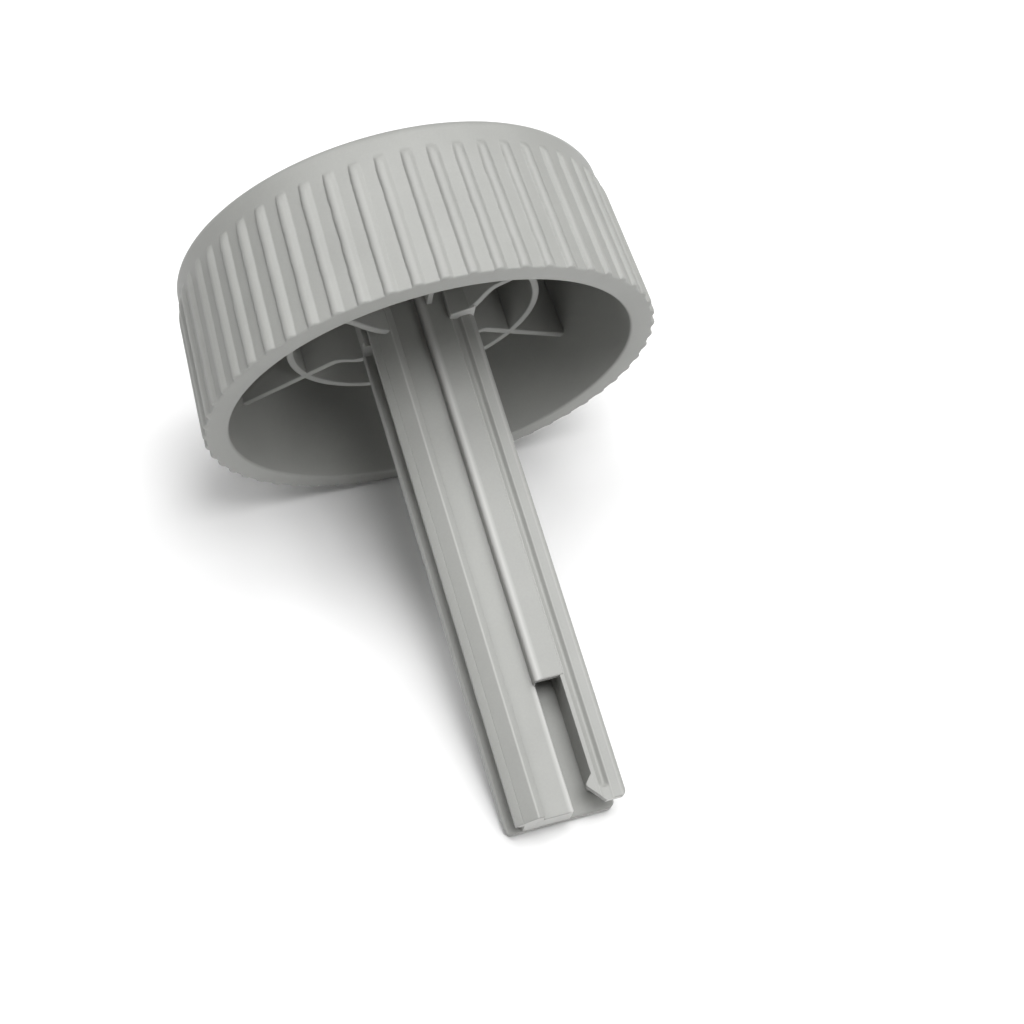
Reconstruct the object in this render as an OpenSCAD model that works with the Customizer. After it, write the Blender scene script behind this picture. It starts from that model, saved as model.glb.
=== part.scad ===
// Ribbed control knob with a long keyed stem and a sprung latch arm.
// The knob stands on its flat front face: +Z runs up the stem, the open channel
// of the stem faces -Y, and the latch side of the stem is at -X.

/* [Knob head] */
// Outside diameter of the skirt at the open rim, between the grip ribs
head_d = 49.8; // [46:0.2:54]
// Height from the front face to the open rim
head_h = 18.3; // [16:0.1:22]
// Slope of the skirt, which is wider at the open rim
skirt_slope = 3.2; // [1:0.1:4]
// Wall thickness of the skirt at the rim
skirt_wall = 2.5; // [2:0.1:3]
// Thickness of the closed front face
face_t = 2.3; // [1.8:0.1:3]
// Rounding of the front edge
edge_r = 1.3; // [0.5:0.1:1.7]

/* [Grip ribs] */
// Number of grip ribs
rib_count = 56; // [48:4:64]
// Radius of each half-round rib
rib_r = 0.59; // [0.5:0.01:0.7]
// How far each rib stands out of the skirt
rib_h = 0.38; // [0.2:0.01:0.45]
// Plain band between the front face and the ribs
plain_band = 2.9; // [2.9:0.1:5]
// Turn of the first rib from the plain side of the stem
rib_turn = 1.85; // [0:0.05:6.4]

/* [Inner stiffening] */
// Middle radius of the ring inside the head
ring_r = 13.9; // [13:0.1:15]
// Thickness of the ring
ring_t = 0.8; // [0.6:0.1:1.2]
// Depth of the ring and gusset edges below the rim
ring_drop = 7.5; // [6:0.1:9]
// Thickness of the four gussets
gusset_t = 0.9; // [0.7:0.1:1.2]
// Angle of the gussets from the wide direction of the stem
gusset_angle = 31; // [29:1:33]
// How far the gussets climb where they reach the stem
gusset_rise = 1.2; // [0.8:0.1:2]
// Thickness of the single rib in front of the stem
front_rib_t = 0.6; // [0.5:0.1:0.8]

/* [Stem] */
// Length of the stem beyond the rim
stem_reach = 48.7; // [44:0.1:56]
// Width of the back plate
back_w = 11.7; // [11.4:0.1:12]
// Thickness of the back plate
back_t = 1.2; // [1:0.1:1.6]
// Corner radius at the ends of the back plate and the latch arm
tip_r = 0.8; // [0.3:0.1:1.2]

/* [Latch] */
// Length of the open window beside the latch arm
window_l = 13.6; // [12:0.1:15]
// Slot left round the latch arm so that it can flex
arm_gap = 0.3; // [0.2:0.05:0.4]
// How far the barb stands into the window
barb_h = 0.75; // [0.5:0.05:0.9]
// Distance from the tip of the barb to the end of the arm
barb_back = 2; // [1.6:0.1:2.4]

/* [Hidden] */

grey = [0.76, 0.76, 0.74];
shade = [0.70, 0.70, 0.68];
$fn = 96;

rim_r = head_d / 2;
stem_top = head_h + stem_reach;
window_z = stem_top - window_l;
ring_z = head_h - ring_drop;
slack = 0.02;

// Section of the stem. x is towards the latch side, y is towards the open front.
plate_y = -2.5;
back_y = plate_y - back_t;
// Plain side: a wall under a slanted rail that climbs to the crest of the guide ridge
plain_wall_x = [-4.3, -3.0];
plain_rail_x = -5.3;
plain_rail_y = 0.95;
rail_under_y = 0.2;
ridge_foot_x = -4.5;
crest_x = -3.1;
crest_y = 2.2;
shelf_y = 2.0;
// Channel between the ridge and the roof of the tunnel
channel_x = [-2.35, 0.65];
floor_y = 0.6;
// Tunnel and its roof, which is as wide as the window
tunnel_x = [0.9, 3.3];
roof_y = 2.3;
roof_under_y = 1.4;
roof_round = 0.5;
// Latch side: a wall under a rail with a shallow groove and a rounded bead
latch_wall_x = 4.7;
latch_groove_x = [3.7, 4.35];
latch_groove_y = 1.75;
latch_rail_x = 6.35;
latch_rail_y = 2.4;
latch_under_y = roof_under_y;
arm_wall_back = 2.2;

// Radii where the gussets start inside the stem, and where their edges stop climbing
front_start_r = [3.9, 5.9];
back_start_r = 6.2;
front_level_r = [4.4, 6.4];
back_level_r = 6.6;
climb_r = 10.4;
front_rib_x = 1.85;
root_pad = [[3.5, roof_under_y], [latch_rail_x, roof_under_y], [latch_rail_x, 4.2], [3.5, 3.4]];

// Outer radius of the skirt at height z
function skirt_r(z) = rim_r - (head_h - z) * tan(skirt_slope);

// Draws in the section frame of the stem, then turns it to face -Y
module stem_frame() {
    rotate([0, 0, 180]) children();
}

// A straight stretch of a section from height z0 to height z1
module stretch(z0, z1) {
    stem_frame() translate([0, 0, z0]) linear_extrude(z1 - z0) children();
}

module front_disc() {
    edge = skirt_r(face_t);
    front = skirt_r(0);
    color(grey) rotate_extrude($fn = 180)
        intersection() {
            union() {
                square([front - edge_r, face_t]);
                translate([0, edge_r])
                    polygon([[0, 0], [skirt_r(edge_r), 0], [edge, face_t - edge_r], [0, face_t - edge_r]]);
                translate([skirt_r(edge_r) - edge_r, edge_r]) circle(edge_r, $fn = 48);
            }
            square([edge, face_t]);
        }
}

// One grip rib: a half-round bar lying along the sloping skirt
module grip_rib() {
    sink = rib_r - rib_h;
    length = head_h - plain_band + 2;
    translate([skirt_r(plain_band) - sink, 0, plain_band])
        rotate([0, skirt_slope, 0]) cylinder(h = length, r = rib_r, $fn = 24);
}

module grip_skirt() {
    top = rim_r;
    base = skirt_r(face_t);
    color(grey) difference() {
        union() {
            rotate_extrude($fn = 180)
                polygon([[base - skirt_wall, face_t], [base, face_t],
                         [top, head_h], [top - skirt_wall, head_h]]);
            for (i = [0 : rib_count - 1]) rotate([0, 0, rib_turn + i * 360 / rib_count]) grip_rib();
        }
        translate([0, 0, head_h]) cylinder(h = 4, r = rim_r + 2);
    }
}

// The outline that the gussets are cut back to: the back plate, the rails and the roof
module stem_outline() {
    stretch(face_t - 1, stem_top) union() {
        translate([-back_w / 2, back_y]) square([back_w, back_t]);
        translate([plain_wall_x[0], plate_y - slack])
            square([latch_wall_x - plain_wall_x[0], latch_under_y - plate_y + 2 * slack]);
        plain_rail_section();
        ridge_section();
        roof_section();
        latch_rail_section();
    }
}

// One gusset: a plate from radius start_r out to the skirt, with an edge that climbs
// gently from climb_r to level_r
module gusset(turn, start_r, level_r) {
    reach = skirt_r(ring_z) - skirt_wall;
    foot = skirt_r(face_t) - skirt_wall;
    steps = 10;
    color(shade) difference() {
        rotate([0, 0, turn]) rotate([90, 0, 0]) translate([0, 0, -gusset_t / 2])
            linear_extrude(gusset_t)
                polygon(concat(
                    [[start_r, face_t], [foot, face_t], [reach, ring_z]],
                    [for (i = [0 : steps])
                        let (u = i / steps)
                        [climb_r + (level_r - climb_r) * u, ring_z + gusset_rise * u * u * (3 - 2 * u)]],
                    [[start_r, ring_z + gusset_rise]]));
        stem_outline();
    }
}

module gusset_front_plain() { gusset(-gusset_angle, front_start_r[0], front_level_r[0]); }
module gusset_front_latch() { gusset(180 + gusset_angle, front_start_r[1], front_level_r[1]); }
module gusset_back_plain() { gusset(gusset_angle, back_start_r, back_level_r); }
module gusset_back_latch() { gusset(180 - gusset_angle, back_start_r, back_level_r); }

module ring_rib() {
    color(shade) difference() {
        translate([0, 0, face_t]) difference() {
            cylinder(h = ring_z - face_t, r = ring_r + ring_t / 2, $fn = 120);
            translate([0, 0, -1]) cylinder(h = ring_z, r = ring_r - ring_t / 2, $fn = 120);
        }
        for (turn = [gusset_angle, 180 - gusset_angle, 180 + gusset_angle, -gusset_angle])
            rotate([0, 0, turn]) translate([ring_r, 0, ring_z / 2])
                cube([4 * ring_t, gusset_t, 2 * ring_z], center = true);
    }
}

// The thin rib that runs forwards from the roof of the tunnel to the ring
module front_rib() {
    inner = sqrt(pow(ring_r - ring_t / 2, 2) - pow(front_rib_x + front_rib_t / 2, 2));
    rib_z = ring_z - 1;
    color(shade) stem_frame()
        translate([front_rib_x - front_rib_t / 2, roof_y, face_t])
            cube([front_rib_t, inner - roof_y, rib_z - face_t]);
}

// Fills the foot of the side groove between the back plate and the rail, up to a round end
module groove_end_plain() {
    half = (rail_under_y - plate_y) / 2;
    top = ring_z + half;
    color(shade) stem_frame() difference() {
        translate([-back_w / 2, plate_y, face_t])
            cube([plain_wall_x[0] + back_w / 2, 2 * half, top - face_t]);
        translate([-back_w / 2 - 1, plate_y + half, top + half / 3])
            rotate([0, 90, 0]) cylinder(h = 4, r = half, $fn = 48);
    }
}

// Carries the front gusset on the latch side on along the front of the rail
module root_pad_latch() {
    pad_top = ring_z + gusset_rise;
    color(shade) difference() {
        stretch(face_t, pad_top) polygon(root_pad);
        rotate([0, 0, 180 + gusset_angle]) translate([front_start_r[1], -gusset_t / 2, 0])
            cube([head_d, gusset_t, pad_top + 1]);
        stem_outline();
    }
}

module stem_back_plate() {
    color(grey) stem_frame() translate([0, plate_y, 0]) rotate([90, 0, 0]) linear_extrude(back_t)
        union() {
            translate([-back_w / 2, face_t]) square([back_w, stem_top - tip_r - face_t]);
            translate([-back_w / 2 + tip_r, face_t]) square([back_w - 2 * tip_r, stem_top - face_t]);
            for (side = [-1, 1])
                translate([side * (back_w / 2 - tip_r), stem_top - tip_r]) circle(tip_r, $fn = 32);
        }
}

module stem_web() {
    color(grey) stretch(face_t, stem_top)
        translate([plain_wall_x[1], plate_y])
            square([tunnel_x[0] - plain_wall_x[1], floor_y - plate_y]);
}

module side_wall_plain() {
    color(grey) stretch(face_t, stem_top)
        translate([plain_wall_x[0], plate_y])
            square([plain_wall_x[1] - plain_wall_x[0], rail_under_y - plate_y]);
}

// Height of the slanted face between the outer edge of the rail and the crest of the ridge
function slant_y(x) =
    plain_rail_y + (x - plain_rail_x) * (crest_y - plain_rail_y) / (crest_x - plain_rail_x);

// Front rail on the plain side: the lower part of the slanted face, with a chamfered edge
module plain_rail_section() {
    chamfer = 0.12;
    polygon([[plain_rail_x, rail_under_y], [ridge_foot_x, rail_under_y],
             [ridge_foot_x, slant_y(ridge_foot_x)],
             [plain_rail_x + chamfer, slant_y(plain_rail_x + chamfer)],
             [plain_rail_x, plain_rail_y - chamfer]]);
}

module front_rail_plain() {
    color(grey) stretch(face_t, stem_top) plain_rail_section();
}

// Guide ridge: the upper part of the slanted face, a crest, and a shelf above the channel
module ridge_section() {
    crest = 0.15;
    polygon([[ridge_foot_x, rail_under_y], [ridge_foot_x, slant_y(ridge_foot_x)],
             [crest_x - crest, slant_y(crest_x - crest)], [crest_x + crest, crest_y - 0.02],
             [channel_x[0] - crest, shelf_y], [channel_x[0], shelf_y - crest],
             [channel_x[0], floor_y], [plain_wall_x[1], floor_y], [plain_wall_x[1], rail_under_y]]);
}

module guide_ridge() {
    color(grey) stretch(face_t, stem_top) ridge_section();
}

// Roof of the tunnel, with a rounded edge beside the channel
module roof_section() {
    width = latch_groove_x[0] - channel_x[1];
    difference() {
        union() {
            translate([channel_x[1], floor_y]) square([width, roof_y - roof_round - floor_y]);
            translate([channel_x[1] + roof_round, floor_y])
                square([width - roof_round, roof_y - floor_y]);
            translate([channel_x[1] + roof_round, roof_y - roof_round]) circle(roof_round, $fn = 32);
        }
        translate([tunnel_x[0], floor_y - 1]) square([width, roof_under_y - floor_y + 1]);
    }
}

module tunnel_roof() {
    color(grey) stretch(face_t, window_z) roof_section();
}

module side_wall_latch() {
    color(grey) stretch(face_t, window_z)
        translate([tunnel_x[1], plate_y])
            square([latch_wall_x - tunnel_x[1], latch_under_y - plate_y]);
}

// Front of the latch-side rail: a shallow groove, then a rounded bead
latch_rail_front =
    [[latch_groove_x[0], roof_y],
     [latch_groove_x[0] + 0.25, latch_groove_y], [latch_groove_x[1], latch_groove_y],
     [latch_groove_x[1] + 0.5, latch_rail_y - 0.1], [latch_rail_x - 0.6, latch_rail_y],
     [latch_rail_x - 0.2, latch_rail_y - 0.2], [latch_rail_x, latch_rail_y - 0.7]];

module latch_rail_section() {
    polygon(concat([[latch_groove_x[0], latch_under_y]], latch_rail_front,
                   [[latch_rail_x, latch_under_y]]));
}

module front_rail_latch() {
    color(grey) stretch(face_t, window_z) latch_rail_section();
}

// The arm: rail and side wall beside the window, free of the back plate. The wall stops short
// of the tip. The end is rounded outside, and inside it is cut back along the barb's ramp.
module snap_arm() {
    foot_y = plate_y + arm_gap;
    barb_z = stem_top - barb_back;
    ramp = (barb_back - 0.5) / (1.5 * barb_h);
    ramp_z = barb_z + ramp * barb_h;
    color(grey) intersection() {
        union() {
            stretch(window_z + arm_gap, stem_top)
                polygon(concat([[tunnel_x[1], latch_under_y], [tunnel_x[1], roof_y]], latch_rail_front,
                               [[latch_rail_x, latch_under_y]]));
            stretch(window_z + arm_gap, stem_top - arm_wall_back)
                translate([tunnel_x[1], foot_y])
                    square([latch_wall_x - tunnel_x[1], latch_under_y + slack - foot_y]);
        }
        stem_frame() translate([0, 5, 0]) rotate([90, 0, 0]) linear_extrude(10) difference() {
            union() {
                square([latch_rail_x - tip_r, stem_top]);
                square([latch_rail_x, stem_top - tip_r]);
                translate([latch_rail_x - tip_r, stem_top - tip_r]) circle(tip_r, $fn = 48);
            }
            polygon([[tunnel_x[1], ramp_z], [tunnel_x[1] + (stem_top - ramp_z) / ramp, stem_top],
                     [tunnel_x[1], stem_top + 1]]);
        }
    }
}

// The barb on the inner edge of the arm, with a long ramp towards the tip
module snap_barb() {
    nose = 0.1;
    barb_z = stem_top - barb_back;
    ramp = (barb_back - 0.5) / (1.5 * barb_h);
    color(grey) stem_frame() translate([0, roof_y, 0]) rotate([90, 0, 0])
        linear_extrude(roof_y - latch_under_y)
            polygon([[tunnel_x[1], barb_z - 1], [tunnel_x[1] - barb_h + nose, barb_z - nose * 2],
                     [tunnel_x[1] - barb_h, barb_z], [tunnel_x[1] - barb_h + nose, barb_z + nose * ramp],
                     [tunnel_x[1], barb_z + ramp * barb_h]]);
}

front_disc();
grip_skirt();
ring_rib();
gusset_front_plain();
gusset_front_latch();
gusset_back_plain();
gusset_back_latch();
front_rib();
groove_end_plain();
root_pad_latch();
stem_back_plate();
stem_web();
side_wall_plain();
front_rail_plain();
guide_ridge();
tunnel_roof();
side_wall_latch();
front_rail_latch();
snap_arm();
snap_barb();
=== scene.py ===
"""Looks of a ribbed control knob with a long keyed stem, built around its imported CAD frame."""

import math

import bmesh
import bpy
from mathutils import Matrix, Vector, noise


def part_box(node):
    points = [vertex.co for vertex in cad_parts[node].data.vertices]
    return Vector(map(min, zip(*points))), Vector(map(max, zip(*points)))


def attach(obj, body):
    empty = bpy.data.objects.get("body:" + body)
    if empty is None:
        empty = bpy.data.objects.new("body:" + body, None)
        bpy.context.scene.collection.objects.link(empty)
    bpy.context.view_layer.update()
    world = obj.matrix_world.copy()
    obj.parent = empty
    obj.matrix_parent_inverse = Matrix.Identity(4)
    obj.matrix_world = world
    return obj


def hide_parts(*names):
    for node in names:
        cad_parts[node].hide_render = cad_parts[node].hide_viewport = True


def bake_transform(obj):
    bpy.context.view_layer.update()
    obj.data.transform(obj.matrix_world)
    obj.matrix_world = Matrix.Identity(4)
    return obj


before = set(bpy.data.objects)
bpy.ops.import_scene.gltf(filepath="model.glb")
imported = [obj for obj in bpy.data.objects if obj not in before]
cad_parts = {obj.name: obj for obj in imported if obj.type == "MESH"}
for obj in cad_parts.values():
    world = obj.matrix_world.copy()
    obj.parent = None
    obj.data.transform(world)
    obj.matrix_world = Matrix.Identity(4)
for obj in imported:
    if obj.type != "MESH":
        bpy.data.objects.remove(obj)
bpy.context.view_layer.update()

MM = 0.001
DARK_GREY = (0.330, 0.333, 0.318, 1)
PALE_GREY = (0.358, 0.361, 0.345, 1)
# paler grey of the painted highlight, and the usual weight of that painted highlight on a rounded corner
HIGHLIGHT_GREY = (0.50, 0.50, 0.485, 1)
EDGE_HIGHLIGHT = 0.35


# ---------------------------------------------------------------- sizes, in mm


def span(node):
    """A stem node's box, in mm, in section axes: x towards the latch, y towards the open front."""
    low, high = (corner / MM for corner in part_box(node))
    return {"x": (-high.x, -low.x), "y": (-high.y, -low.y), "z": (low.z, high.z)}


disc_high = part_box("front_disc")[1] / MM
skirt_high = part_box("grip_skirt")[1] / MM
ring_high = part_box("ring_rib")[1] / MM
GUSSET_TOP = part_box("gusset_back_plain")[1].z / MM

FACE_T = disc_high.z
HEAD_H = skirt_high.z
RING_Z = ring_high.z
RING_T = 0.8
RING_OUTER = ring_high.x
RIB_H = 0.38
RIB_COUNT = 56
RIB_TURN = math.radians(1.85)
RIB_START = 3.0
BASE_R = disc_high.x
SLOPE = math.tan(math.radians(3.2))
RIM_R = BASE_R + SLOPE * (HEAD_H - FACE_T)
SKIRT_WALL = 2.5
EDGE_R = 1.3
GUSSET_T = 0.9
GUSSET_TURN = math.radians(31)

# each gusset's turn, and the radii where its edge starts at the stem and stops climbing to it
GUSSETS = [("gusset_front_plain", -GUSSET_TURN, 3.95, 4.4),
           ("gusset_front_latch", math.pi + GUSSET_TURN, 5.6, 6.4),
           ("gusset_back_plain", GUSSET_TURN, 6.2, 6.6),
           ("gusset_back_latch", math.pi - GUSSET_TURN, 6.2, 6.6)]

back = span("stem_back_plate")
web = span("stem_web")
wall_plain = span("side_wall_plain")
rail_plain = span("front_rail_plain")
ridge = span("guide_ridge")
roof = span("tunnel_roof")
wall_latch = span("side_wall_latch")
rail_latch = span("front_rail_latch")
arm = span("snap_arm")
barb = span("snap_barb")
STEM_TOP = back["z"][1]
WINDOW_Z = roof["z"][1]
CREST_X = ridge["x"][0] + 1.4
SLANT = (ridge["y"][1] - 0.01 - rail_plain["y"][1]) / (CREST_X - rail_plain["x"][1])
SHELF_Y = ridge["y"][1] - 0.17
TIP_R = 0.8
GROOVE_DEEP = 0.48
GROOVE_WIDE = 1.1
WALL_BACK = 2.2
BARB_BACK = 2.0
BARB_Z = STEM_TOP - BARB_BACK
BARB_RAMP = 1.33


def skirt_r(z):
    """Outer radius of the plain skirt at height z, in mm."""
    return RIM_R - (HEAD_H - z) * SLOPE


# ---------------------------------------------------------------- material


def node(tree, kind, **settings):
    made = tree.nodes.new(kind)
    for key, value in settings.items():
        setattr(made, key, value)
    return made


def plastic():
    """Light warm grey moulded plastic: fine grain, faint flow mottling, and a painted highlight, a paler
    grey along rounded edges, rib crests and cut ends.
    """
    mat = bpy.data.materials.new("moulded_grey_plastic")
    mat.use_nodes = True
    tree = mat.node_tree
    shader = tree.nodes["Principled BSDF"]
    shader.inputs["IOR"].default_value = 1.47
    link = tree.links.new
    place = node(tree, "ShaderNodeTexCoord").outputs["Object"]

    def cloud(scale, detail, rough):
        n = node(tree, "ShaderNodeTexNoise")
        n.inputs["Scale"].default_value = scale
        n.inputs["Detail"].default_value = detail
        n.inputs["Roughness"].default_value = rough
        link(place, n.inputs["Vector"])
        return n.outputs["Fac"]

    flow = cloud(110.0, 3.0, 0.55)
    grain = cloud(4200.0, 2.0, 0.6)

    tone = node(tree, "ShaderNodeValToRGB")
    tone.color_ramp.elements[0].position = 0.3
    tone.color_ramp.elements[0].color = DARK_GREY
    tone.color_ramp.elements[1].position = 0.7
    tone.color_ramp.elements[1].color = PALE_GREY
    link(flow, tone.inputs["Fac"])

    speck = node(tree, "ShaderNodeMix", data_type="RGBA", blend_type="MULTIPLY")
    speck.inputs["Factor"].default_value = 0.10
    link(tone.outputs["Color"], speck.inputs["A"])
    link(grain, speck.inputs["B"])

    # painted highlight: a paler grey mixed in by each vertex's highlight weight, standing in for light on
    # edges
    highlight_weight = node(tree, "ShaderNodeAttribute", attribute_name="painted_edge_highlight")
    paler = node(tree, "ShaderNodeMix", data_type="RGBA")
    paler.inputs["B"].default_value = HIGHLIGHT_GREY
    link(highlight_weight.outputs["Fac"], paler.inputs["Factor"])
    link(speck.outputs["Result"], paler.inputs["A"])
    link(paler.outputs["Result"], shader.inputs["Base Color"])

    rough = node(tree, "ShaderNodeMapRange")
    rough.inputs["To Min"].default_value = 0.44
    rough.inputs["To Max"].default_value = 0.60
    link(grain, rough.inputs["Value"])
    link(rough.outputs["Result"], shader.inputs["Roughness"])

    bump = node(tree, "ShaderNodeBump")
    bump.inputs["Strength"].default_value = 0.35
    bump.inputs["Distance"].default_value = 0.00002
    link(grain, bump.inputs["Height"])
    link(bump.outputs["Normal"], shader.inputs["Normal"])
    return mat


PLASTIC = plastic()


# ---------------------------------------------------------------- mesh helpers


def finish_piece(name, bm, nodes, highlight=None, angle=38):
    """Turns a bmesh in mm into a smooth shaded piece, in place of CAD nodes."""
    bmesh.ops.recalc_face_normals(bm, faces=bm.faces)
    for face in bm.faces:
        face.smooth = True
    for edge in bm.edges:
        if len(edge.link_faces) == 2 and edge.calc_face_angle() > math.radians(angle):
            edge.smooth = False
    mesh = bpy.data.meshes.new(name)
    bm.to_mesh(mesh)
    # per-vertex weights of the painted highlight, a paler colour standing in for light on edges
    if highlight is not None:
        layer = mesh.attributes.new("painted_edge_highlight", "FLOAT", "POINT")
        layer.data.foreach_set("value", [highlight.get(i, 0.0) for i in range(len(mesh.vertices))])
    bm.free()
    mesh.transform(Matrix.Scale(MM, 4))
    mesh.materials.append(PLASTIC)
    piece = bpy.data.objects.new(name, mesh)
    bpy.context.scene.collection.objects.link(piece)
    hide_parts(*nodes)
    return piece


def quarter(steps):
    """The angles of a quarter turn, in equal steps."""
    return [math.pi / 2 * k / steps for k in range(steps + 1)]


def lathe_point(radius, angle, z):
    return radius * math.cos(angle), radius * math.sin(angle), z


def bridge(bm, rings, closed=False):
    """Faces between neighbouring rings; closed joins the last to the first, else both are capped."""
    for a, b in zip(rings, rings[1:] + rings[:1] if closed else rings[1:]):
        for i in range(len(a)):
            j = (i + 1) % len(a)
            bm.faces.new((a[i], a[j], b[j], b[i]))
    if not closed:
        bm.faces.new(rings[0])
        bm.faces.new(rings[-1])


def rounded(corners, step=15):
    """An outline of (x, y, highlight) points from corners (x, y, radius, painted highlight weight on the
    arc, painted highlight weight at the arc's ends).
    """
    out = []
    count = len(corners)
    for i, (x, y, radius, *rest) in enumerate(corners):
        here = Vector((x, y))
        # corners without weights get the usual painted highlight on the arc and none at its ends
        highlight, end_highlight = (*rest, *(EDGE_HIGHLIGHT, 0.0)[len(rest):])
        if radius <= 0:
            out.append((x, y, 0.0))
            continue
        before = (Vector(corners[i - 1][:2]) - here).normalized()
        after = (Vector(corners[(i + 1) % count][:2]) - here).normalized()
        half = math.acos(max(-1.0, min(1.0, before.dot(after)))) / 2
        reach = radius / math.tan(half)
        centre = here + (before + after).normalized() * (radius / math.sin(half))
        start = here + before * reach - centre
        turn = start.angle_signed(here + after * reach - centre)
        steps = max(2, math.ceil(abs(math.degrees(turn)) / step))
        for k in range(steps + 1):
            p = centre + Matrix.Rotation(-turn * k / steps, 2) @ start
            out.append((p.x, p.y, highlight if 0 < k < steps else end_highlight))
    return out


def wobble(p):
    """A faint waviness of the moulding, the same for every piece at one place."""
    across, along, depth = 0.35, 0.16, 0.018
    at = Vector((p.x * across, p.y * across, p.z * along))
    aside = Vector((31.7, 12.3, 5.9))
    return p + Vector((noise.noise(at), noise.noise(at + aside), 0)) * depth


def prism(name, corners, heights, nodes, tip=0.0, held=(), bend=None, levels=()):
    """A straight stretch of the stem: an outline in the section frame, carried along z.

    The far end is rounded by tip; a held point moves in along its own direction there, or not
    at all. bend moves a point (x, y) at height z, and levels adds heights for it to act on."""
    # the second number is the weight of a painted highlight on the last ring of a rounded far end
    ring_pitch, cut_highlight, near = 1.5, 0.9, 0.1
    outline = rounded(corners)
    flat = [Vector((x, y)) for x, y, w in outline]
    area = sum(a.x * b.y - b.x * a.y for a, b in zip(flat, flat[1:] + flat[:1]))
    inward = []
    for i, p in enumerate(flat):
        along = (flat[(i + 1) % len(flat)] - flat[i - 1]).normalized()
        direction = Vector((-along.y, along.x)) * (1 if area > 0 else -1)
        for x, y, *own in held:
            if (p - Vector((x, y))).length < near:
                direction = Vector(own or (0, 0))
        inward.append(direction)
    z0, z1 = heights
    count = max(2, round((z1 - z0) / ring_pitch))
    steps = [z0 + (z1 - tip - z0) * k / count for k in range(count + 1)]
    steps = sorted(steps + [z for z in levels if z0 < z < z1 - tip - 0.01])
    stack = [(z, 0.0) for z in steps]
    for a in quarter(5)[1:] if tip else ():
        stack.append((z1 - tip + tip * math.sin(a), tip * (1 - math.cos(a))))
    bm = bmesh.new()
    rings = []
    highlight = {}
    for z, inset in stack:
        ring = []
        for p, n, (x, y, w) in zip(flat, inward, outline):
            q = p + n * inset
            if bend:
                q = Vector(bend(q.x, q.y, z))
            v = bm.verts.new(wobble(Vector((-q.x, -q.y, z))))
            # painted highlight: the outline's own weights, and a strong one on the last ring of a rounded
            # end
            highlight[len(bm.verts) - 1] = cut_highlight if z == z1 and tip else w
            ring.append(v)
        rings.append(ring)
    bridge(bm, rings)
    return finish_piece(name, bm, nodes, highlight)


# ---------------------------------------------------------------- the head


def front_cap():
    """The closed front face, with its rounded edge."""
    face_r = skirt_r(0) - EDGE_R
    corner = [(skirt_r(EDGE_R) - EDGE_R + EDGE_R * math.sin(a), EDGE_R - EDGE_R * math.cos(a))
              for a in quarter(8)]
    profile = [(face_r * k / 6, 0.0) for k in range(1, 6)] + corner
    profile += [(BASE_R, FACE_T)]
    profile += [(BASE_R * k / 8, FACE_T) for k in range(7, 0, -1)]
    bm = bmesh.new()
    rings = []
    columns = 168
    for c in range(columns):
        a = 2 * math.pi * c / columns
        rings.append([bm.verts.new(lathe_point(r, a, z)) for r, z in profile])
    bottom, top = bm.verts.new((0, 0, 0)), bm.verts.new((0, 0, FACE_T))
    for a, b in zip(rings, rings[1:] + rings[:1]):
        for i in range(len(profile) - 1):
            bm.faces.new((a[i], a[i + 1], b[i + 1], b[i]))
        bm.faces.new((bottom, a[0], b[0]))
        bm.faces.new((top, b[-1], a[-1]))
    piece = finish_piece("front_cap", bm, ["front_disc"])
    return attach(piece, "knob")


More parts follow.
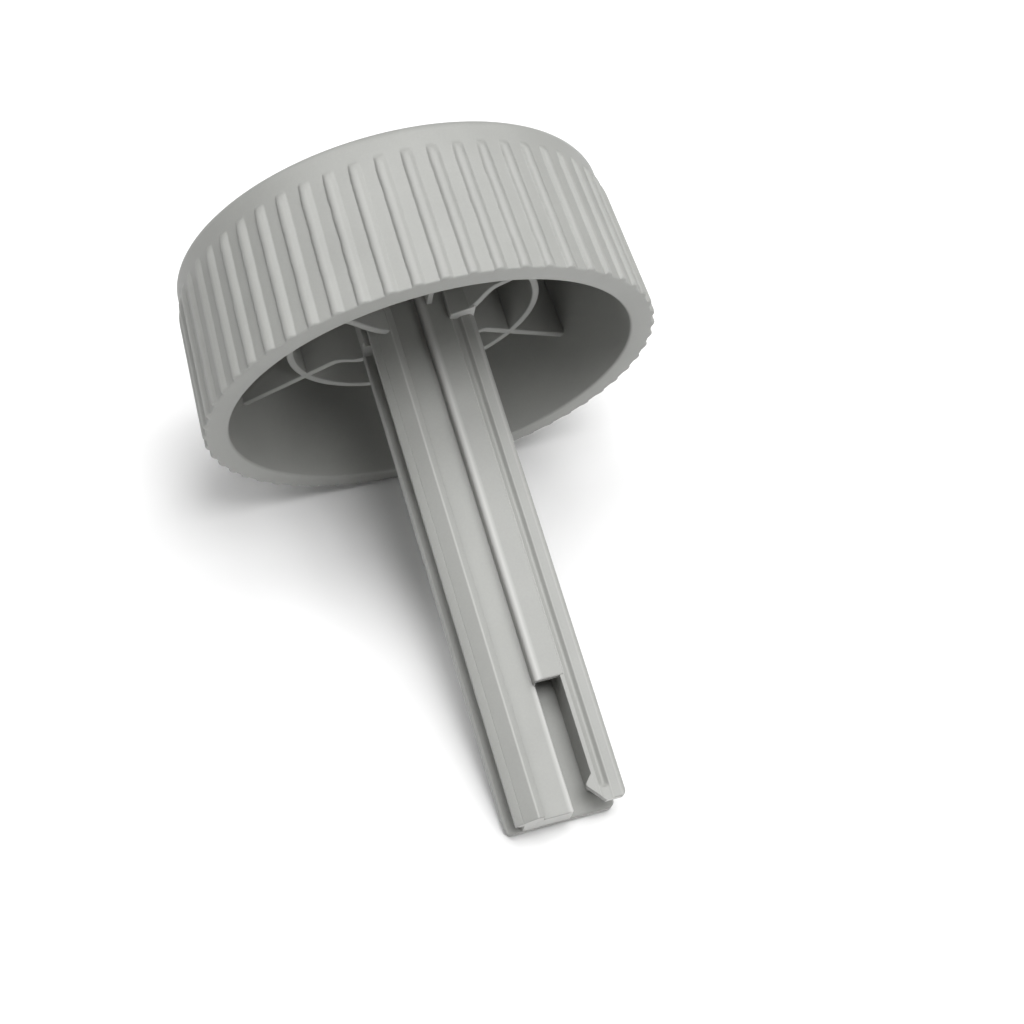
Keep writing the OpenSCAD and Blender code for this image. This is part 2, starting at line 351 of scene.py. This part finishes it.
def grip_skirt():
    """The skirt: uneven grip ribs, sharper on one flank, a flat rim and a filleted inner wall."""
    rim_round, inner_round, floor_fillet = 0.22, 0.3, 0.8
    rib_half, soft_half, rib_skin = 0.54, 0.84, 0.97 * RIB_H
    foot_end, rim_end, rim_left = 1.8, 0.5, 0.45
    # the second number is the weight of a painted highlight on the rib crests
    uneven, crest_highlight = 0.045, 0.12
    rows = 24

    outer = [FACE_T, (FACE_T + RIB_START) / 2]
    outer += [RIB_START + foot_end * (k / 7) ** 1.5 for k in range(8)]
    low, high = RIB_START + foot_end, HEAD_H - rim_end
    outer += [low + (high - low) * k / rows for k in range(1, rows + 1)]
    top = HEAD_H - rim_round
    outer += [high + (top - high) * k / 3 for k in range(1, 4)]
    profile = [(skirt_r(z), z) for z in outer]
    for a in quarter(5)[1:]:
        profile.append((RIM_R - rim_round * (1 - math.cos(a)), top + rim_round * math.sin(a)))
    outer_count = len(profile)
    inner_r = RIM_R - SKIRT_WALL
    profile.append(((RIM_R + inner_r) / 2, HEAD_H))
    for a in quarter(4):
        profile.append((inner_r + inner_round * (1 - math.sin(a)),
                        HEAD_H - inner_round * (1 - math.cos(a))))
    foot_r = BASE_R - SKIRT_WALL
    for k in range(1, 9):
        z = HEAD_H - inner_round + (FACE_T + floor_fillet - HEAD_H + inner_round) * k / 9
        profile.append((inner_r + (foot_r - inner_r) * k / 9, z))
    for a in quarter(5):
        profile.append((foot_r - floor_fillet * (1 - math.cos(a)),
                        FACE_T + floor_fillet * (1 - math.sin(a))))

    pitch = 2 * math.pi / RIB_COUNT

    def rib_height(rib, offset, z):
        """Height of one rib at an offset in mm from its middle."""
        if z <= RIB_START:
            return 0.0
        foot = min(1.0, (z - RIB_START) / foot_end)
        sway = noise.noise(Vector((rib * 3.7, z * 1.4, 0.5))) * uneven
        swell = noise.noise(Vector((rib * 5.1, z * 1.3, 7.5))) * uneven
        side = offset - sway
        if side > 0:
            u = min(1.0, side / ((rib_half + swell) * (0.75 + 0.25 * foot)))
            across = (1 - u ** 2.2) ** 0.7
        else:
            u = min(1.0, -side / (soft_half + swell))
            across = (1 - u * u) ** 1.2
        rim = max(0.0, (z - HEAD_H + rim_end) / rim_end)
        at_foot = math.sqrt(1 - (1 - foot) ** 2)
        at_rim = rim_left + (1 - rim_left) * math.sqrt(1 - rim ** 2)
        return rib_skin * across * at_foot * at_rim

    # columns crowd together at the sharp flank of each rib
    offsets = [-0.5, -0.4, -0.34, -0.305, -0.27, -0.235, -0.2, -0.16, -0.11, -0.055,
               0.0, 0.05, 0.09, 0.125, 0.15, 0.17, 0.19, 0.21, 0.24, 0.34]
    bm = bmesh.new()
    rings = []
    highlight = {}
    for rib in range(RIB_COUNT):
        for offset in offsets:
            a = RIB_TURN + (rib + offset) * pitch
            ring = []
            for k, (r, z) in enumerate(profile):
                rise = rib_height(rib, offset * pitch * RIM_R, z) if k < outer_count else 0.0
                ring.append(bm.verts.new(lathe_point(r + rise, a, z)))
                # painted highlight: the high part of each rib gets a paler colour
                if rise > 0.7 * RIB_H:
                    highlight[len(bm.verts) - 1] = crest_highlight
            rings.append(ring)
    bridge(bm, rings, closed=True)
    piece = finish_piece("grip_skirt_shell", bm, ["grip_skirt"], highlight, angle=50)
    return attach(piece, "knob")


def ring_wall():
    """The ring inside the head: a thin wall with a rounded edge and a filleted foot."""
    inner_r = RING_OUTER - RING_T
    radius, fillet, sink, columns = 0.16, 0.5, 0.02, 180
    top = RING_Z - sink
    bends = [(1 - math.sin(a), 1 - math.cos(a)) for a in quarter(4)]
    profile = [(RING_OUTER + fillet * s, FACE_T + fillet * c) for s, c in bends]
    profile += [(RING_OUTER - radius * c, top - radius * s) for s, c in bends]
    profile += [(inner_r + radius * s, top - radius * c) for s, c in bends]
    profile += [(inner_r - fillet * c, FACE_T + fillet * s) for s, c in bends]
    bm = bmesh.new()
    turns = [2 * math.pi * c / columns for c in range(columns)]
    rings = [[bm.verts.new(lathe_point(r, a, z)) for r, z in profile] for a in turns]
    bridge(bm, rings, closed=True)
    piece = finish_piece("ring_wall", bm, ["ring_rib"])
    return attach(piece, "knob")


def gusset(name, node_name, turn, start_r, level_r):
    """One radial gusset: its edge is level by the skirt and climbs gently to the stem."""
    half = GUSSET_T / 2
    radius, fillet, climb_r, steps = 0.18, 0.45, 10.4, 12
    sunk, low, level_at = 0.3, 0.03, (18.0, 15.0, 12.5)
    foot = skirt_r(FACE_T) - SKIRT_WALL + sunk
    reach = skirt_r(RING_Z) - SKIRT_WALL + sunk
    high = GUSSET_TOP - low
    edge = [(r, RING_Z) for r in (reach, *level_at)]
    for u in (i / steps for i in range(steps + 1)):
        ease = u * u * (3 - 2 * u)
        edge.append((climb_r + (level_r - climb_r) * u, RING_Z + (high - RING_Z) * ease))
    edge.append((start_r, high))
    across = [(-half - fillet, 0.0), (-half - 0.3 * fillet, 0.3 * fillet), (-half, fillet)]
    rise = [(half - radius * (1 - math.cos(a)), -radius * (1 - math.sin(a))) for a in quarter(4)]
    section = [("foot", x, z) for x, z in across]
    section += [("edge", -x, z) for x, z in rise]
    section += [("edge", x, z) for x, z in reversed(rise)]
    section += [("foot", -x, z) for x, z in reversed(across)]
    bm = bmesh.new()
    rings = []
    spin = Matrix.Rotation(turn, 3, "Z")
    for r, z in edge:
        ring = []
        for kind, x, dz in section:
            level = FACE_T + dz if kind == "foot" else z + dz
            ring.append(bm.verts.new(spin @ Vector((min(r, foot) if kind == "foot" else r, x, level))))
        rings.append(ring)
    bridge(bm, rings)
    piece = finish_piece(name, bm, [node_name])
    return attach(piece, "knob")


def block(name, node_name, radius, highlight):
    """A small block that fills a CAD node's box, with rounded edges, painted paler all over by a
    highlight weight.
    """
    low, high = (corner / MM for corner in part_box(node_name))
    bm = bmesh.new()
    bmesh.ops.create_cube(bm, size=1.0)
    for v in bm.verts:
        v.co = Vector([(l + h) / 2 + c * (h - l) for c, l, h in zip(v.co, low, high)])
    bmesh.ops.bevel(bm, geom=list(bm.edges), offset=radius, segments=3, affect="EDGES")
    # painted highlight: every vertex of the block gets the same highlight weight
    paler = {i: highlight for i in range(len(bm.verts))}
    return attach(finish_piece(name, bm, [node_name], paler), "knob")


# ---------------------------------------------------------------- the stem


def slant_y(x):
    """Front of the plain-side rail and ridge: one slanted face from the rail's edge to the crest."""
    return rail_plain["y"][1] - (rail_plain["x"][1] - x) * SLANT


def round_off(x, z, side_x):
    """Keeps x inside the round of TIP_R at the stem's end, on the side of side_x."""
    dz = z - (STEM_TOP - TIP_R)
    if dz <= 0:
        return x
    side = 1 if side_x > 0 else -1
    limit = abs(side_x) - TIP_R + math.sqrt(max(0.0, TIP_R ** 2 - dz ** 2))
    return side * min(side * x, limit)


def stem():
    """Every straight member of the stem, each in place of its own CAD node."""
    z0 = FACE_T
    near_tip = [STEM_TOP - 0.1 * k for k in range(1, 10)]
    bx, by = back["x"], back["y"]
    plate = [(bx[0], by[0], 0.3), (bx[1], by[0], 0.3), (bx[1], by[1], 0.25), (bx[0], by[1], 0.25)]
    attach(prism("stem_back_plate_skin", plate, (z0, STEM_TOP), ["stem_back_plate"], 0.3,
                  bend=lambda x, y, z: (round_off(round_off(x, z, bx[0]), z, bx[1]), y),
                  levels=near_tip), "knob")

    wx, wy = web["x"], web["y"]
    # a corner's fourth and fifth numbers weight a painted highlight on its arc and at the arc's ends; the
    # web's edge by the window gets a strong one
    corners = [(wx[0], wy[0], 0), (wx[1], wy[0], 0), (wx[1], wy[1], 0.2, 0.9, 0.9),
               (wx[1] - 0.65, wy[1], 0), (wx[0], wy[1], 0)]
    held = [(wx[0], wy[0]), (wx[1], wy[0]), (wx[0], wy[1])]
    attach(prism("stem_web_skin", corners, (z0, STEM_TOP), ["stem_web"], 0.15, held), "knob")

    px, py = wall_plain["x"], wall_plain["y"]
    corners = [(px[0], py[0], 0), (px[1], py[0], 0), (px[1], py[1], 0), (px[0], py[1], 0)]
    held = [(px[1], py[0]), (px[1], py[1]), (px[0], py[1])]
    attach(prism("side_wall_plain_skin", corners, (z0, STEM_TOP), ["side_wall_plain"], 0.2, held), "knob")

    rx, ry = rail_plain["x"], rail_plain["y"]
    seam = (rx[1], ry[1], *(Vector((SLANT, -1)).normalized()))
    corners = [(rx[0], ry[0], 0.12), (rx[1], ry[0], 0), (rx[1], ry[1], 0.05, 0.2),
               (rx[0], slant_y(rx[0]), 0.14)]
    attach(prism("front_rail_plain_skin", corners, (z0, STEM_TOP), ["front_rail_plain"], 0.2,
                  [(rx[1], ry[0]), seam]), "knob")

    gx, gy = ridge["x"], ridge["y"]
    # the crest's rounding carries a painted highlight
    corners = [(gx[0], ry[0], 0), (gx[0], slant_y(gx[0]), 0), (CREST_X + 0.06, gy[1] + 0.06, 0.3, 0.4),
               (gx[1], SHELF_Y, 0.06, 0.0), (gx[1], wy[1], 0), (px[1], wy[1], 0), (px[1], py[1], 0)]
    held = [(gx[0], ry[0]), (px[1], wy[1]), (px[1], py[1]), (gx[1], wy[1], 0, -1), seam]
    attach(prism("guide_ridge_skin", corners, (z0, STEM_TOP), ["guide_ridge"], 0.15, held), "knob")

    ox, oy = roof["x"], roof["y"]
    under = wall_latch["y"][1]
    # the roof's rounded left edge carries a strong painted highlight
    corners = [(ox[0], oy[0], 0), (wx[1], oy[0], 0), (wx[1], under, 0.1), (ox[1], under, 0),
               (ox[1], oy[1], 0.08, 0.5), (ox[0] + 0.95, oy[1], 0), (ox[0], oy[1], 0.5, 0.9, 0.9)]
    held = [(ox[0], oy[0]), (wx[1], oy[0]), (ox[1], under)]
    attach(prism("tunnel_roof_skin", corners, (z0, WINDOW_Z), ["tunnel_roof"], 0.15, held), "knob")

    lx, ly = wall_latch["x"], wall_latch["y"]
    corners = [(lx[0], ly[0], 0), (lx[1], ly[0], 0), (lx[1], ly[1], 0), (lx[0], ly[1], 0)]
    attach(prism("side_wall_latch_skin", corners, (z0, WINDOW_Z), ["side_wall_latch"]), "knob")

    rail_x, rail_y = rail_latch["x"], rail_latch["y"]
    corners = [(rail_x[0], rail_y[0], 0)] + latch_front(rail_x[0]) + [(rail_x[1], rail_y[0], 0.2)]
    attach(prism("front_rail_latch_skin", corners, (z0, WINDOW_Z), ["front_rail_latch"]), "knob")


def latch_front(x0):
    """Front of the latch-side rail from inner edge x0: a shallow groove, then a rounded bead."""
    roof_y = roof["y"][1]
    edge_x = roof["x"][1]
    high = rail_latch["y"][1]
    out = rail_latch["x"][1]
    first = [] if x0 == edge_x else [(x0, roof_y, 0.08)]
    # the extra numbers are painted highlight weights on the groove's edges and the bead
    return first + [(edge_x, roof_y, 0.08, 0.5), (edge_x + 0.62, roof_y - GROOVE_DEEP, 0.3, 0.0),
                    (edge_x + GROOVE_WIDE, high - 0.03, 0.28, 0.5), (out - 0.45, high + 0.02, 0.4),
                    (out, high - 0.75, 0.3)]


def root_fillers():
    """The pad that carries the front gusset on along the latch rail, and the plain groove's end."""
    x0, x1 = span("root_pad_latch")["x"]
    far = span("root_pad_latch")["y"][1]
    front = rail_latch["y"][1]
    foot = front - 1.0
    # the pad's outer far corner carries a painted highlight
    corners = [(x0, foot, 0), (x1 - 0.3, foot, 0), (x1, foot, 0.1), (x1, far, 0.2, 0.8),
               (x0, far - 0.8, 0.2)]
    pad = prism("root_pad_latch_skin", corners, (FACE_T, GUSSET_TOP), ["root_pad_latch"], 0.12)
    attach(pad, "knob")

    filler = span("groove_end_plain")
    y0, y1 = filler["y"]
    radius = (y1 - y0) / 2
    rise, steps = 1 / 3, 16
    arch_z = filler["z"][1] + radius * rise
    first = math.asin(rise)
    outline = [(y0, FACE_T), (y1, FACE_T)]
    for a in (first + (math.pi - 2 * first) * k / steps for k in range(steps + 1)):
        outline.append((y0 + radius + radius * math.cos(a), arch_z - radius * math.sin(a)))
    bm = bmesh.new()
    sides = [[bm.verts.new((-x, -y, z)) for y, z in outline] for x in filler["x"]]
    for i in range(len(outline)):
        j = (i + 1) % len(outline)
        bm.faces.new((sides[0][i], sides[0][j], sides[1][j], sides[1][i]))
    bm.faces.new(sides[0])
    bm.faces.new(sides[1])
    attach(finish_piece("groove_end_plain_skin", bm, ["groove_end_plain"]), "knob")


def latch_arm():
    """The arm carries the rail and side wall on past the window."""
    x0 = arm["x"][0]
    under = rail_latch["y"][0]
    foot = arm["y"][0]
    wall_x = wall_latch["x"]
    edge_x = roof["x"][1]
    roof_y = roof["y"][1]

    def shape(x, y, z):
        """Rounds the arm's end, cuts it back along the barb's ramp and runs the groove out."""
        run_out = max(0.0, min(1.0, (z - BARB_Z) / 0.7))
        if edge_x + 0.02 < x < edge_x + GROOVE_WIDE + 0.1 and roof_y - GROOVE_DEEP - 0.12 < y < roof_y:
            y += (roof_y - y) * run_out ** 2
        x = max(x, barb["x"][0] + (z - BARB_Z) / BARB_RAMP)
        return round_off(x, z, rail_latch["x"][1]), y

    corners = [(x0, under, 0.1)] + latch_front(x0) + [(rail_latch["x"][1], under, 0.2)]
    rail = prism("latch_arm_skin", corners, (WINDOW_Z, STEM_TOP), ["snap_arm"], 0.12, bend=shape,
                 levels=[STEM_TOP - 0.1 * k for k in range(1, 24)])
    corners = [(wall_x[0], foot, 0.1), (wall_x[1], foot, 0.1), (wall_x[1], under + 0.1, 0),
               (wall_x[0], under + 0.1, 0)]
    wall = prism("latch_arm_wall", corners, (WINDOW_Z, STEM_TOP - WALL_BACK), ["snap_arm"], 0.12)
    for piece in (rail, wall):
        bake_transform(piece)


def latch_barb():
    """The barb: a rounded arrowhead on the inner edge of the arm."""
    x = barb["x"][1]
    reach = x - barb["x"][0]
    y0, y1 = barb["y"]
    sunk, back_z = 0.4, BARB_Z - 1.0
    foot_x = x + sunk
    side = [(foot_x, back_z - 0.1, 0), (x, back_z, 0.3), (x - reach - 0.12, BARB_Z, 0.35),
            (foot_x, BARB_Z + BARB_RAMP * (reach + sunk), 0)]
    outline = rounded(side)
    bm = bmesh.new()
    faces = []
    for y in (y0, y1 - 0.01):
        faces.append([bm.verts.new((-px, -y, pz)) for px, pz, w in outline])
    for i in range(len(outline)):
        j = (i + 1) % len(outline)
        bm.faces.new((faces[0][i], faces[0][j], faces[1][j], faces[1][i]))
    bm.faces.new(faces[0])
    front = bm.faces.new(faces[1])
    bmesh.ops.bevel(bm, geom=list(front.edges), offset=0.06, segments=2, affect="EDGES")
    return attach(finish_piece("latch_barb", bm, ["snap_barb"]), "latch_arm")


front_cap()
grip_skirt()
ring_wall()
for gusset_node, turn, start_r, level_r in GUSSETS:
    gusset(gusset_node + "_skin", gusset_node, turn, start_r, level_r)
# the front rib is painted paler, a painted highlight of weight 0.8
block("front_rib_skin", "front_rib", 0.06, 0.8)
root_fillers()
stem()
latch_arm()
latch_barb()


# ---------------------------------------------------------------- floor, light and camera

CAMERA_RIGHT = Vector((-0.95073, -0.12042, 0.28556))
CAMERA_UP = Vector((-0.22581, -0.3617, -0.90454))
CAMERA_PLACE = Vector((0.04097, -0.19671, 0.10177))
CAMERA_LENS = 70.62
TABLE_R = 0.7
LAMP_FAR = 0.8
LAMP_SIZE = 0.34

# elevation above the table and turn from the view's right, in degrees, and power in watts
SOFTBOXES = [(65, 300, 3.44), (90, 0, 1.43), (65, 0, 1.31), (65, 180, 0.95), (38, 315, 0.92),
             (38, 135, 0.79), (38, 45, 0.72), (65, 60, 0.67), (65, 240, 0.55)]


def rest_plane():
    """The table: a point on it and its normal. The knob lies on its rim and on the end of its stem."""
    rim = Vector((0, skirt_high.y, HEAD_H)) * MM
    tip = Vector((0, -back["y"][0], STEM_TOP)) * MM
    lie = tip - rim
    return (rim + tip) / 2, Vector((0, -lie.z, lie.y)).normalized()


def camera():
    """A long lens above the table, at the angle of the reference view."""
    cam = bpy.data.objects.new("camera", bpy.data.cameras.new("camera"))
    behind = CAMERA_RIGHT.cross(CAMERA_UP)
    cam.matrix_world = Matrix((CAMERA_RIGHT, CAMERA_UP, behind)).transposed().to_4x4()
    cam.location = CAMERA_PLACE
    cam.data.sensor_width = 36
    cam.data.lens = CAMERA_LENS
    cam.data.clip_start = 0.01
    cam.data.clip_end = 10
    bpy.context.scene.collection.objects.link(cam)
    bpy.context.scene.camera = cam
    return cam


def table_top(point, normal):
    """A white studio table, seen through from below so that it never hides the object."""
    mesh = bpy.data.meshes.new("table")
    bm = bmesh.new()
    bmesh.ops.create_circle(bm, cap_ends=True, segments=96, radius=TABLE_R)
    bm.to_mesh(mesh)
    bm.free()
    table = bpy.data.objects.new("table", mesh)
    table.matrix_world = Matrix.Translation(point) @ normal.to_track_quat("Z", "Y").to_matrix().to_4x4()
    mat = bpy.data.materials.new("white_table")
    mat.use_nodes = True
    tree = mat.node_tree
    shader = tree.nodes["Principled BSDF"]
    shader.inputs["Base Color"].default_value = (0.93, 0.93, 0.93, 1)
    shader.inputs["Roughness"].default_value = 0.9
    shader.inputs["Specular IOR Level"].default_value = 0.1
    behind = node(tree, "ShaderNodeNewGeometry").outputs["Backfacing"]
    mix = node(tree, "ShaderNodeMixShader")
    clear = node(tree, "ShaderNodeBsdfTransparent")
    tree.links.new(behind, mix.inputs[0])
    tree.links.new(shader.outputs[0], mix.inputs[1])
    tree.links.new(clear.outputs[0], mix.inputs[2])
    tree.links.new(mix.outputs[0], tree.nodes["Material Output"].inputs["Surface"])
    mesh.materials.append(mat)
    bpy.context.scene.collection.objects.link(table)


def softbox(name, target, direction, power):
    """One round area light, aimed at the target from a direction."""
    light = bpy.data.lights.new(name, "AREA")
    light.shape = "DISK"
    light.size = LAMP_SIZE
    light.energy = power
    lamp = bpy.data.objects.new(name, light)
    lamp.location = target + direction.normalized() * LAMP_FAR
    lamp.rotation_mode = "QUATERNION"
    lamp.rotation_quaternion = direction.to_track_quat("Z", "Y")
    lamp.visible_camera = False
    bpy.context.scene.collection.objects.link(lamp)


def studio(cam, point, normal):
    """Softboxes round the table, the strongest from the near right, and a white surround."""
    cam_axes = cam.matrix_world.to_3x3()
    right = cam_axes.col[0]
    right = (right - normal * right.dot(normal)).normalized()
    away = normal.cross(right)
    for elevation, turn, power in SOFTBOXES:
        e, t = math.radians(elevation), math.radians(turn)
        level = right * math.cos(t) + away * math.sin(t)
        softbox("softbox", point, level * math.cos(e) + normal * math.sin(e), power)
    world = bpy.data.worlds.new("surround")
    world.use_nodes = True
    tree = world.node_tree
    sky = tree.nodes["Background"]
    sky.inputs["Strength"].default_value = 0.0
    white = node(tree, "ShaderNodeBackground")
    white.inputs["Color"].default_value = (1, 1, 1, 1)
    seen = node(tree, "ShaderNodeLightPath").outputs["Is Camera Ray"]
    mix = node(tree, "ShaderNodeMixShader")
    tree.links.new(seen, mix.inputs[0])
    tree.links.new(sky.outputs[0], mix.inputs[1])
    tree.links.new(white.outputs[0], mix.inputs[2])
    tree.links.new(mix.outputs[0], tree.nodes["World Output"].inputs["Surface"])
    bpy.context.scene.world = world
    bpy.context.scene.view_settings.view_transform = "Standard"


table_point, table_normal = rest_plane()
view_camera = camera()
table_top(table_point, table_normal)
studio(view_camera, table_point, table_normal)
